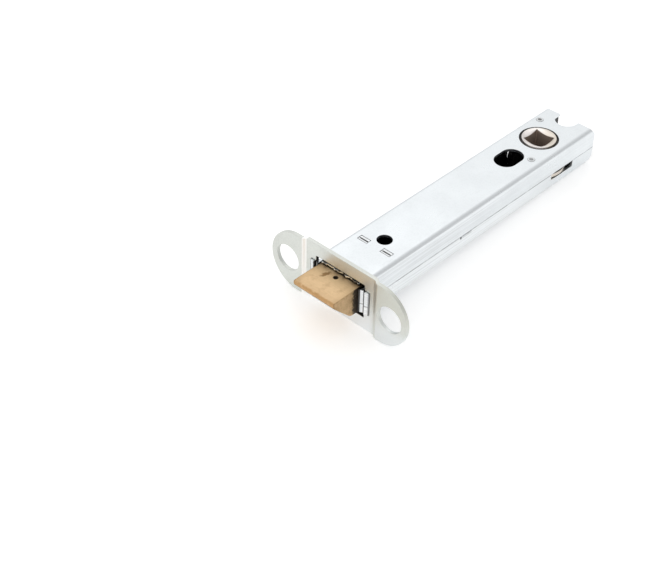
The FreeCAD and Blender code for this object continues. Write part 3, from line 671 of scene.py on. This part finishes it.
def turned_finish(name, shade):
    """Nickel over sintered steel: fine pores, painted shade inside the case, a painted highlight, a
    painted shade and a painted warm shade on three sides of the ring, and a warm film inside the square.
    """
    rim_highlight, rim_shade, rim_warm_shade, square_film = (
        (0.99, 0.95, 0.91), (0.52, 0.50, 0.48), (0.66, 0.59, 0.47), (0.53, 0.43, 0.36))
    finish = Finish(name)
    pores = finish.noise(5.0, 3, 0.7)
    cloud = finish.noise(0.5, 3, 0.5)
    x, y, z = finish.axis("X"), finish.axis("Y") - FOLLOWER_Y, finish.axis("Z")
    reach = (x * x + y * y) ** 0.5
    in_square = 1 - abs(x).most(abs(y)).ramp(4.02, 4.12)
    above_flange = z.ramp(-1.9, -1.75)
    # Painted shade on the faces inside the case
    hidden = (1 - reach.ramp(8.9, 9.1)).most(above_flange).most(within(x, 9.2)) * within(z, SEAT_Z + SHADE_REACH)
    # The painted shade is weaker on the flange's rim towards -X and +Y
    shade_lifted = (y * 0.72 - x * 0.69).ramp(1.5, 5.5) * (1 - above_flange) * abs(x).ramp(9.0, 9.4)
    inside_shade = hidden * (1 - shade_lifted * 0.85)
    colour_out = finish.blend(cloud.ramp(0.35, 0.7) * 0.5, shade, darker(shade, 0.88))
    # Painted highlight towards -X and +Y
    colour_out = finish.blend((y - x).ramp(5.0, 8.0) * 0.8, colour_out, rim_highlight)
    # Painted shade towards -X and -Y
    colour_out = finish.blend((x * -1.0 - y).ramp(6.2, 8.4) * 0.5, colour_out, rim_shade)
    colour_out = finish.blend(pores.ramp(0.6, 0.72) * 0.35, colour_out, darker(shade, 0.6))
    # Painted warm shade towards +X and +Y
    colour_out = finish.blend((x + y + cloud * 4.0).ramp(2.5, 8.0) * 0.55, colour_out, rim_warm_shade)
    colour_out = finish.blend(inside_shade * 0.96, colour_out, SHADE_BLACK)
    colour_out = finish.blend(in_square * (0.75 + pores * 0.3), colour_out, square_film)
    roughness = 0.26 + cloud * 0.10 + in_square * 0.25 + inside_shade * 0.3
    return finish.metal(colour_out, roughness, finish.bump(pores + cloud * 0.4, 0.22, 0.02))


def drawn_finish(name, shade, rough=0.30, painted_shade=None):
    """Bright drawn steel with lines along Y and a thin oil film."""
    finish = Finish(name)
    drawn = finish.noise(1.0, 3, 0.6, at=finish.stretched((9.0, 0.25, 9.0)))
    oil = finish.noise(0.25, 3, 0.5).ramp(0.5, 0.72)
    colour_out = finish.blend(drawn.ramp(0.3, 0.75) * 0.7, shade, darker(shade, 0.78))
    colour_out = finish.blend(oil * 0.35, colour_out, darker(shade, 0.7))
    # Painted shade: near black over the given mask
    if painted_shade:
        colour_out = finish.blend(painted_shade(finish), colour_out, SHADE_BLACK)
    roughness = rough + drawn * 0.12 - oil * 0.06
    return finish.metal(colour_out, roughness, finish.bump(drawn, 0.25, 0.02))


def moulded_finish(name):
    """Black moulding with a fine grain and a few dusty places."""
    black, dusty = (0.012, 0.012, 0.013), (0.05, 0.05, 0.048)
    finish = Finish(name)
    grain = finish.noise(9.0, 2, 0.6)
    dust = finish.noise(0.6, 4, 0.6).ramp(0.55, 0.8)
    colour_out = finish.blend(dust * 0.25, black, dusty)
    roughness = 0.45 + dust * 0.3
    return finish.metal(colour_out, roughness, finish.bump(grain, 0.3, 0.02), {"Metallic": 0.0})


# Pieces

class LatchPiece(bpy.types.Operator):
    """Shared wording of the operators that make one piece or a group of like pieces"""
    bl_options = {"REGISTER", "UNDO"}

    def execute(self, context):
        self.make(context.scene.latch_sizes, context.scene.latch_colours)
        return {"FINISHED"}


class OBJECT_OT_latch_forend(LatchPiece, bpy.types.Operator):
    """Punch, joggle and round the forend"""
    bl_idname = "object.latch_forend"
    bl_label = "Forend"

    def make(self, sizes, colours):
        through = (-1, 3)
        near, far = JOGGLE_X
        high = box_mm("forend")[1]
        radius = high.z
        reach = high.x - radius
        plate = block("forend_plate", (-reach, reach), (0, SHEET), (-radius, radius))
        for side in (-1, 1):
            combine(plate, bar("lobe", radius, (0, SHEET), at=(side * reach, 0), sides=128), "UNION")
        tidy_mesh(plate)
        for side in (-1, 1):
            hole = bar("hole", SCREW_RADIUS, through, at=(side * SCREW_X, 0), sides=96)
            combine(plate, hole, "DIFFERENCE")
        mouth = block("mouth", (-MOUTH_X, MOUTH_X), through, (-MOUTH_Z, MOUTH_Z))
        enter(mouth, "EDGE")
        pick(mouth, "EDGE", lambda middle, along: abs(along.y) > 0.9)
        bpy.ops.mesh.bevel(offset=sizes.mouth_corner, segments=5, affect="EDGES")
        leave()
        combine(plate, mouth, "DIFFERENCE")
        notches = block("notches", (-NOTCH_X, NOTCH_X), through, (-NOTCH_Z, NOTCH_Z))
        combine(plate, notches, "DIFFERENCE")
        tidy_mesh(plate)
        enter(plate, "EDGE")
        for x in (-far, -near, near, far):
            cut_plane((x, 0, 0), (1, 0, 0))
        pick(plate, "VERT", lambda spot: abs(spot.x) < near + 0.1)
        bpy.ops.transform.translate(value=(0, SET_BACK * MM, 0))
        pick(plate, "EDGE", lambda middle, along: abs(along.z) > 0.99
             and near - 0.1 < abs(middle.x) < far + 0.1)
        bpy.ops.mesh.bevel(offset=sizes.joggle_bend, segments=5, affect="EDGES")
        leave()
        soften(plate, sizes.forend_edge, segments=3, angle_deg=50)
        finish = plated_finish("forend_plate_metal", tuple(colours.forend), 0.46,
                               painted_shade=forend_mouth_shade, light=forend_painted_light)
        settle(plate, "case", finish, "forend")


class OBJECT_OT_latch_case(LatchPiece, bpy.types.Operator):
    """Round the punched edges of the two shells, and make the small cut in the side seam"""
    bl_idname = "object.latch_case"
    bl_label = "Case shells"

    def make(self, sizes, colours):
        seam_notch = ((9.2, 11.2), (50.8, 51.6), (-2.1, -0.9))
        finish = plated_finish("case_zinc", tuple(colours.case), 0.30, dull=0.93,
                               painted_shade=case_painted_shade, light=case_streaks_and_painted_light)
        for node in ("upper_case", "lower_case"):
            shell = copy_of(node, node + "_shell")
            if node == "lower_case":
                combine(shell, block("seam_notch", *seam_notch), "DIFFERENCE")
                tidy_mesh(shell)
            soften(shell, sizes.sheet_edge)
            settle(shell, "case", finish, node)


class OBJECT_OT_latch_guides(LatchPiece, bpy.types.Operator):
    """Model one bolt guide with its lip and stakes, and turn a copy over"""
    bl_idname = "object.latch_guides"
    bl_label = "Bolt guides"

    def make(self, sizes, colours):
        guide = self.strip()
        soften(guide, sizes.small_edge)
        lower = twin(guide, "lower_guide")
        lower.scale = (1, 1, -1)
        apply_place(lower)
        face_out(lower)
        finish = plated_finish("guide_zinc", tuple(colours.guide), 0.30,
                               painted_shade=guide_lip_shade, light=guide_light)
        settle(guide, "case", finish, "upper_bolt_guide")
        settle(lower, "case", finish, "lower_bolt_guide")

    def strip(self):
        """A flat strip with a narrower, waved lip and two grooved stakes.

        Its cuts stay in its flat faces, because dissolving them gives another mesh on each run.
        """
        inner, outer = 5.4, 6.4
        lip_half, lip_share, wave, shoulder_round = 8.2, 0.6, 0.25, 0.7
        stake_in, stake_out, stake_front, stake_back, stake_rise = 3.1, 7.1, 17.35, 19.35, 1.1
        rim, rim_rise, groove_front, groove_back, groove_depth = 0.22, 0.1, 18.2, 18.5, 0.35
        low, high = box_mm("upper_bolt_guide")
        guide = block("upper_guide", (low.x, high.x), (low.y, high.y), (inner, outer))
        enter(guide, "FACE")
        for y in (LIP_BACK, LIP_BACK + 0.3, stake_front, groove_front, groove_back, stake_back):
            cut_plane((0, y, 0), (0, 1, 0))
        for x in (-stake_out, -stake_in, stake_in, stake_out):
            cut_plane((x, 0, 0), (1, 0, 0))
        pick(guide, "VERT", lambda spot: spot.y < LIP_BACK + 0.1)
        bpy.ops.transform.resize(value=(lip_half / high.x, 1, lip_share),
                                 center_override=(0, 0, (inner + outer) / 2 * MM))
        for x in (-stake_out, *range(-6, 7), stake_out):
            cut_plane((x, 0, 0), (1, 0, 0))
            pick(guide, "VERT", lambda spot: spot.y < LIP_BACK - 0.1 and abs(spot.x - x) < 0.05)
            bpy.ops.transform.translate(value=(0, (wave + wave * math.sin(1.9 * x + 0.8)) * MM, 0))
        pick(guide, "FACE", lambda middle, out: out.z > 0.9 and stake_front < middle.y < stake_back
             and stake_in < abs(middle.x) < stake_out)
        bpy.ops.mesh.extrude_region_move(TRANSFORM_OT_translate={"value": (0, 0, stake_rise * MM)})
        bpy.ops.mesh.inset(thickness=rim * MM, depth=rim_rise * MM)
        pick(guide, "VERT", lambda spot: groove_front - 0.1 < spot.y < groove_back + 0.1
             and spot.z > OUTER_Z - 0.2 and stake_in + 0.05 < abs(spot.x) < stake_out - 0.05)
        bpy.ops.transform.translate(value=(0, 0, -groove_depth * MM))
        pick(guide, "EDGE", lambda middle, along: abs(along.y) > 0.9 and abs(middle.x) > INNER_X - 0.35
             and middle.z > outer - 0.1)
        bpy.ops.mesh.bevel(offset=shoulder_round * MM, segments=4, affect="EDGES")
        merge_doubles()
        leave()
        return guide


class OBJECT_OT_latch_bolt(LatchPiece, bpy.types.Operator):
    """Shape the latch bolt with its bevel, rounded nose and cross pin hole"""
    bl_idname = "object.latch_bolt"
    bl_label = "Latch bolt"

    def make(self, sizes, colours):
        nose_height, pin_radius, bore_radius, bore_y = 1.7, 0.8, 2.0, (-2.6, 14)
        low, high = box_mm("latch_bolt")
        bolt = block("bolt_head", (low.x, high.x), (low.y, high.y), (low.z, high.z))
        nose_low = high.z - nose_height
        heel_y = low.y + nose_low - low.z
        enter(bolt, "EDGE")
        cut_plane((0, low.y, nose_low), (0, -1, -1), keep_all=False)
        for y, radius in ((low.y, sizes.nose_round), (heel_y, sizes.heel_round)):
            pick(bolt, "EDGE", lambda middle, along: abs(along.x) > 0.9 and abs(middle.y - y) < 0.01)
            bpy.ops.mesh.bevel(offset=radius, segments=6, affect="EDGES")
        leave()
        combine(bolt, post("pin_hole", pin_radius, (-6, 6), at=(0, PIN_Y), sides=48), "DIFFERENCE")
        combine(bolt, bar("bore", bore_radius, bore_y), "DIFFERENCE")
        tidy_mesh(bolt)
        soften(bolt, sizes.bolt_edge, segments=3, angle_deg=42)
        finish = brass_finish("bolt_brass_metal", tuple(colours.brass), tuple(colours.brass_stain_and_shade))
        settle(bolt, "bolt", finish, "latch_bolt")


class OBJECT_OT_latch_follower(LatchPiece, bpy.types.Operator):
    """Turn the follower, dish its ends, broach the square and add the blades"""
    bl_idname = "object.latch_follower"
    bl_label = "Follower"

    def make(self, sizes, colours):
        follower = self.hub()
        lean, span, corner = 34.5, 27.0, 0.3
        for start in (-lean - span, 180 + lean):
            combine(follower, self.blade(start, span), "UNION")
        half = sizes.square / MM / 2
        square = block("square", (-half, half), (FOLLOWER_Y - half, FOLLOWER_Y + half), (-9, 9))
        enter(square, "EDGE")
        pick(square, "EDGE", lambda middle, along: abs(along.z) > 0.9)
        bpy.ops.mesh.bevel(offset=corner * MM, segments=3, affect="EDGES")
        leave()
        combine(follower, square, "DIFFERENCE")
        tidy_mesh(follower)
        soften(follower, sizes.follower_edge, segments=2, angle_deg=30)
        finish = turned_finish("follower_nickel", tuple(colours.follower))
        settle(follower, "follower", finish, "follower")

    def hub(self):
        """The turned body; its outline runs from the middle of the lower end to that of the upper."""
        low, high = box_mm("follower")
        boss, dish, eye, depth = 6.45, 5.95, 4.0, 0.85
        journal, collar_z = 7.25, 6.1
        core, flange, flange_low, flange_high = 6.4, high.x, -3.2, -1.4
        lower_collar, upper_collar, upper_collar_z = 8.5, 8.2, 5.5
        profile = (
            (0, low.z + depth), (eye, low.z + depth), (dish, low.z), (boss, low.z), (boss, -SEAT_Z),
            (journal, -SEAT_Z), (journal, -collar_z), (lower_collar, -collar_z),
            (lower_collar, flange_low), (flange, flange_low), (flange, flange_high),
            (core, flange_high), (core, upper_collar_z),
            (upper_collar, upper_collar_z), (upper_collar, collar_z), (journal, collar_z),
            (journal, SEAT_Z), (boss, SEAT_Z), (boss, high.z), (dish, high.z), (eye, high.z - depth),
            (0, high.z - depth),
        )
        return lathe("follower_hub", profile, (0, FOLLOWER_Y), steps=120)

    def blade(self, start_deg, span_deg):
        """A wedge of a disc, cut out by two upright planes."""
        reach, heights = 9.4, (-1.41, 2.1)
        wedge = post("blade", reach, heights, at=(0, FOLLOWER_Y), sides=96)
        enter(wedge, "FACE")
        for turn, outward in ((start_deg, -90), (start_deg + span_deg, 90)):
            angle = math.radians(turn + outward)
            cut_plane((0, FOLLOWER_Y, 0), (math.cos(angle), math.sin(angle), 0), keep_all=False)
        leave()
        return wedge


class OBJECT_OT_latch_pillars(LatchPiece, bpy.types.Operator):
    """Turn one riveted pillar and copy it to its other place"""
    bl_idname = "object.latch_pillars"
    bl_label = "Pillars"

    def make(self, sizes, colours):
        crater = [(0, 7.40), (0.45, 7.42), (0.72, 7.6), (0.95, 7.7), (1.3, 7.68), (1.5, 7.5)]
        shank = [(1.0, 7.5), (1.0, 6.4), (1.4, 6.4)]
        half = crater + shank
        profile = half + [(radius, -z) for radius, z in reversed(half)]
        spots = []
        for node in ("front_pillar", "rear_pillar"):
            low, high = box_mm(node)
            spots.append(((low.x + high.x) / 2, (low.y + high.y) / 2))
        (front_x, front_y), (rear_x, rear_y) = spots
        front = lathe("front_rivet", profile, (front_x, front_y), steps=48)
        soften(front, 0.05 * MM, angle_deg=45)
        rear = twin(front, "rear_rivet")
        rear.location = Vector((rear_x - front_x, rear_y - front_y, 0)) * MM
        finish = drawn_finish("pillar_steel", tuple(colours.guide), 0.28, painted_shade=rivet_crater_shade)
        settle(front, "case", finish, "front_pillar")
        settle(rear, "case", finish, "rear_pillar")


class OBJECT_OT_latch_works(LatchPiece, bpy.types.Operator):
    """Round the edges of the retractor, bridge, rod, pins, clip, washer and tail spacer"""
    bl_idname = "object.latch_works"
    bl_label = "Inner works"

    def make(self, sizes, colours):
        strip = plated_finish("works_zinc", tuple(colours.guide), 0.34, painted_shade=works_inside_shade)
        bright = drawn_finish("works_steel", tuple(colours.steel), 0.28, painted_shade=works_inside_shade)
        black = moulded_finish("spacer_black")
        rows = (
            ("retractor", "retractor", "guide_steel", strip, 0.10),
            ("spring_bridge", "case", "guide_steel", strip, 0.08),
            ("bolt_rod", "bolt", "bright_steel", bright, 0.08),
            ("bolt_pin", "bolt", "bright_steel", bright, 0.05),
            ("rod_clip", "bolt", "bright_steel", bright, 0.08),
            ("spring_washer", "retractor", "bright_steel", bright, 0.08),
            ("left_spring_pin", "case", "bright_steel", bright, 0.05),
            ("right_spring_pin", "case", "bright_steel", bright, 0.05),
            ("tail_spacer", "case", "spacer_plastic", black, 0.15),
        )
        for node, body, slot, finish, edge in rows:
            piece = copy_of(node, node + "_piece")
            soften(piece, edge * MM, angle_deg=40)
            settle(piece, body, finish, node)


class OBJECT_OT_latch_springs(LatchPiece, bpy.types.Operator):
    """Wind the bolt spring and the two return springs"""
    bl_idname = "object.latch_springs"
    bl_label = "Springs"

    def make(self, sizes, colours):
        finish = drawn_finish("spring_wire", tuple(colours.wire), 0.26)
        bolt_coil = {"ends": (13.0, 33.4), "outer": 7.2, "wire": sizes.bolt_wire / MM,
                     "turns": 7, "travel": 10.8}
        return_coil = {"ends": (35.1, 55.8), "outer": 3.9, "wire": sizes.return_wire / MM,
                       "turns": 9, "travel": 9.6}
        rows = (
            ("bolt_coil", "bolt_spring", bolt_coil, (0, 0), "bolt", "retractor"),
            ("left_return_coil", "left_return_spring", return_coil, (-6.5, -4.2), "retractor", "case"),
            ("right_return_coil", "right_return_spring", return_coil, (6.5, -4.2), "retractor", "case"),
        )
        for name, node, shape, at, first, second in rows:
            coil = self.wind(name, at, **shape)
            settle(coil, None, finish, node)
            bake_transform(coil)

    def wind(self, name, at, ends, outer, wire, turns, travel):
        """A coil along Y with closed end turns, whose middle can close by its travel without touching."""
        steps_a_turn, samples, halvings = 32, 400, 40
        end_pitch, closed_pitch = wire * 1.04, wire * 1.06
        run = ends[1] - ends[0] - wire
        share = travel / (ends[1] - ends[0])

        def rise(t, open_pitch):
            if t * run < wire or (1 - t) * run < wire:
                return end_pitch
            closing = 1 - share * 6 * t * (1 - t)
            return max(closed_pitch / closing, open_pitch)

        low_pitch, high_pitch = wire, run
        for _ in range(halvings):
            pitch = (low_pitch + high_pitch) / 2
            count = sum(run / samples / rise((i + 0.5) / samples, pitch) for i in range(samples))
            if count > turns:
                low_pitch = pitch
            else:
                high_pitch = pitch
        spots = []
        turned = 0.0
        t = 0.0
        radius = (outer - wire) / 2
        while t < 1.0:
            angle = math.tau * turned
            spots.append((at[0] + radius * math.cos(angle), ends[0] + wire / 2 + t * run,
                          at[1] + radius * math.sin(angle)))
            turned += 1 / steps_a_turn
            t += rise(t, pitch) / steps_a_turn / run
        return self.wire_along(name, spots, wire)

    def wire_along(self, name, spots, wire):
        """A round wire through points in millimetres, as a closed mesh."""
        bpy.ops.object.select_all(action="DESELECT")
        bpy.ops.curve.primitive_nurbs_path_add(radius=MM)
        line = bpy.context.active_object
        line.name = name
        line.data.splines.clear()
        spline = line.data.splines.new("POLY")
        spline.points.add(len(spots) - 1)
        for point, spot in zip(spline.points, spots):
            point.co = (*(value * MM for value in spot), 1)
        line.data.twist_mode = "MINIMUM"
        line.data.bevel_depth = wire / 2 * MM
        line.data.bevel_resolution = 3
        line.data.use_fill_caps = True
        select_only(line)
        bpy.ops.object.convert(target="MESH")
        coil = bpy.context.active_object
        enter(coil, "VERT")
        merge_doubles()
        leave()
        face_out(coil)
        select_only(coil)
        bpy.ops.object.shade_smooth_by_angle(angle=math.radians(50))
        return coil


class SCENE_OT_latch_stage(bpy.types.Operator):
    """Lay the floor, set the camera and light the latch"""
    bl_idname = "scene.latch_stage"
    bl_label = "Stage"
    bl_options = {"REGISTER", "UNDO"}

    def execute(self, context):
        stage = context.scene.latch_stage
        tilt = Matrix.Rotation(stage.floor_tilt, 4, "X")
        ground = tilt @ Matrix.Translation((0, 0, -stage.floor_front))
        self.lay_floor(context, stage)
        self.set_camera(context, stage, ground)
        self.light(context, stage)
        context.scene.view_settings.view_transform = "Standard"
        return {"FINISHED"}

    def lay_floor(self, context, stage):
        """The latch lies on the back edge of its forend and on the end of its case."""
        floor_width, shiny_share = 3.0, 0.72
        forend_low, forend_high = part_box("forend")
        case_low, case_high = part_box("lower_case")
        front = Vector((0, forend_high.y, forend_low.z))
        rear = Vector((0, case_high.y - CHEEK_OVERRUN * MM, case_low.z))
        slope = math.atan2(rear.z - front.z, rear.y - front.y)
        bpy.ops.object.select_all(action="DESELECT")
        bpy.ops.mesh.primitive_plane_add(size=floor_width, location=front, rotation=(slope, 0, 0))
        floor = bpy.context.active_object
        floor.name = "floor"
        finish = Finish("floor_paper")
        shade = tuple(context.scene.latch_colours.floor)
        grained = finish.blend(finish.noise(0.5, 2) * 0.2, shade, darker(shade, 0.99))
        paper = finish.node("ShaderNodeBsdfDiffuse", inputs={"Color": grained})
        glow = finish.node("ShaderNodeEmission", inputs={"Color": (1, 1, 1, 1), "Strength": stage.glow})
        bright = finish.node("ShaderNodeAddShader", inputs={0: paper, 1: glow})
        direct = finish.node("ShaderNodeLightPath", output="Is Camera Ray")
        shiny = finish.node("ShaderNodeLightPath", output="Is Glossy Ray")
        seen = direct.most(shiny * shiny_share)
        mixed = finish.node("ShaderNodeMixShader", inputs={0: seen, 1: paper, 2: bright})
        finish.node("ShaderNodeOutputMaterial", inputs={"Surface": mixed})
        floor.data.materials.append(finish.owner)

    def set_camera(self, context, stage, ground):
        back = Vector((math.sin(stage.azimuth) * math.cos(stage.elevation),
                       -math.cos(stage.azimuth) * math.cos(stage.elevation), math.sin(stage.elevation)))
        across = UP.cross(back).normalized()
        above = back.cross(across)
        right = across * math.cos(stage.roll) + above * math.sin(stage.roll)
        over = above * math.cos(stage.roll) - across * math.sin(stage.roll)
        spot = Vector((stage.aim_x, stage.aim_y, 0)) + back * stage.distance
        columns = (right, over, back, spot)
        pose = Matrix([[column[row] for column in columns] for row in range(3)] + [[0, 0, 0, 1]])
        bpy.ops.object.camera_add()
        camera = bpy.context.active_object
        camera.name = "photo_camera"
        camera.matrix_world = ground @ pose
        camera.data.lens = stage.lens
        camera.data.sensor_width = 36.0
        camera.data.clip_start = 0.01
        camera.data.clip_end = 20.0
        context.scene.camera = camera

    def light(self, context, stage):
        """A soft box above, in a white room that is darker towards two of its sides."""
        lamp_place, lamp_aim, lamp_width = (-0.35, 0.35, 0.75), Vector((0, 0.06, 0)), 0.7
        dim_sides = (((0.64, 0.55, 0.30), (0.45, 0.95), 0.38), ((-0.83, 0.54, 0.08), (0.93, 0.995), 0.35))
        bpy.ops.object.light_add(type="AREA", location=lamp_place)
        lamp = bpy.context.active_object
        lamp.name = "soft_box"
        lamp.data.shape = "DISK"
        lamp.data.size = lamp_width
        lamp.data.energy = stage.key
        lamp.rotation_euler = (lamp_aim - lamp.location).to_track_quat("-Z", "Y").to_euler()
        room = bpy.data.worlds.new("room")
        context.scene.world = room
        finish = Finish("room", owner=room)
        way = finish.node("ShaderNodeTexCoord", output="Generated")
        dim = 0.0
        for side, (start, full), depth in dim_sides:
            facing = finish.node("ShaderNodeVectorMath", {"operation": "DOT_PRODUCT"}, {0: way, 1: side},
                                 output="Value")
            dim = dim + facing.ramp(start, full) * depth
        seen = finish.node("ShaderNodeLightPath", output="Is Camera Ray")
        level = finish.blend((1 - seen) * dim, (1, 1, 1), (0.02, 0.02, 0.02))
        strength = seen + (1 - seen) * stage.world
        sky = finish.node("ShaderNodeBackground", inputs={"Color": level, "Strength": strength})
        finish.node("ShaderNodeOutputWorld", inputs={"Surface": sky})


class VIEW3D_PT_latch(bpy.types.Panel):
    """The latch's pieces, sizes and colours"""
    bl_idname = "VIEW3D_PT_latch"
    bl_label = "Tubular latch"
    bl_space_type = "VIEW_3D"
    bl_region_type = "UI"
    bl_category = "Latch"

    def draw(self, context):
        layout = self.layout
        for kind in PIECES + (SCENE_OT_latch_stage,):
            layout.operator(kind.bl_idname)
        for group in (context.scene.latch_sizes, context.scene.latch_colours, context.scene.latch_stage):
            box = layout.box()
            for key in group.__annotations__:
                box.prop(group, key)


PIECES = (
    OBJECT_OT_latch_forend, OBJECT_OT_latch_case, OBJECT_OT_latch_guides, OBJECT_OT_latch_bolt,
    OBJECT_OT_latch_follower, OBJECT_OT_latch_pillars, OBJECT_OT_latch_works, OBJECT_OT_latch_springs,
)
CLASSES = (LatchSizes, LatchColours, LatchStage) + PIECES + (SCENE_OT_latch_stage, VIEW3D_PT_latch)


def register():
    for kind in CLASSES:
        bpy.utils.register_class(kind)
    bpy.types.Scene.latch_sizes = bpy.props.PointerProperty(type=LatchSizes)
    bpy.types.Scene.latch_colours = bpy.props.PointerProperty(type=LatchColours)
    bpy.types.Scene.latch_stage = bpy.props.PointerProperty(type=LatchStage)


def unregister():
    del bpy.types.Scene.latch_sizes
    del bpy.types.Scene.latch_colours
    del bpy.types.Scene.latch_stage
    for kind in reversed(CLASSES):
        bpy.utils.unregister_class(kind)


def main():
    register()
    bpy.ops.scene.latch_stage()
    bpy.ops.object.latch_forend()
    bpy.ops.object.latch_case()
    bpy.ops.object.latch_guides()
    bpy.ops.object.latch_bolt()
    bpy.ops.object.latch_follower()
    bpy.ops.object.latch_pillars()
    bpy.ops.object.latch_works()
    bpy.ops.object.latch_springs()


if __name__ == "__main__":
    main()
